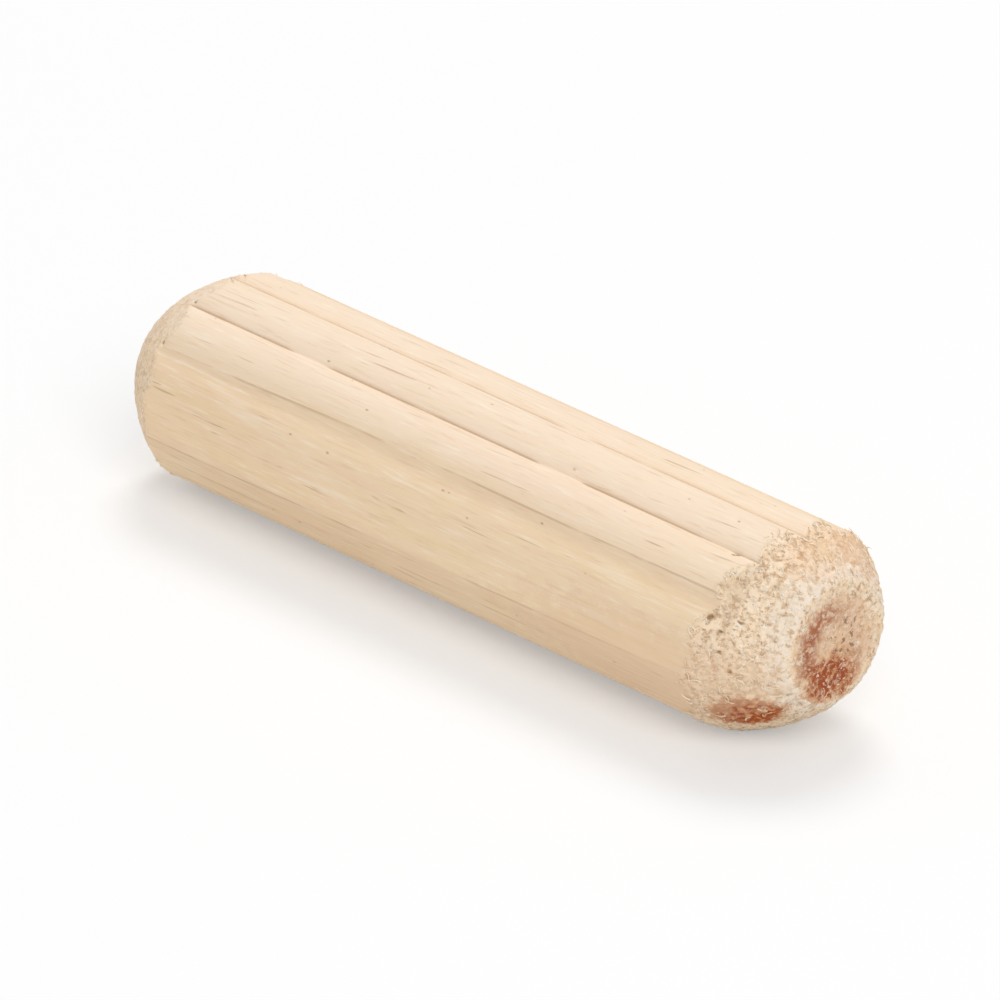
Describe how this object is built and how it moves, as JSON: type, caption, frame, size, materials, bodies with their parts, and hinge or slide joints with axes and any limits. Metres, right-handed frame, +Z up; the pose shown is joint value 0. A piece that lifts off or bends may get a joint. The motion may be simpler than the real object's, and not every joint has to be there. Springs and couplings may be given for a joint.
{
  "type": "dowel pin",
  "caption": "Fluted wooden dowel pin: a round pin with lengthwise flutes and a bevel at each end, glued into drilled holes to line up and join two boards.",
  "frame": {"origin": "on the surface that the pin lies on, under its middle", "axes": "+Y along the pin, +Z up; the pin lies on two of its ridges"},
  "size_m": [0.0098, 0.04, 0.0098],
  "materials": {
    "wood": "matte"
  },
  "bodies": {
    "root": {"pin": "wood"}
  },
  "joints": []
}
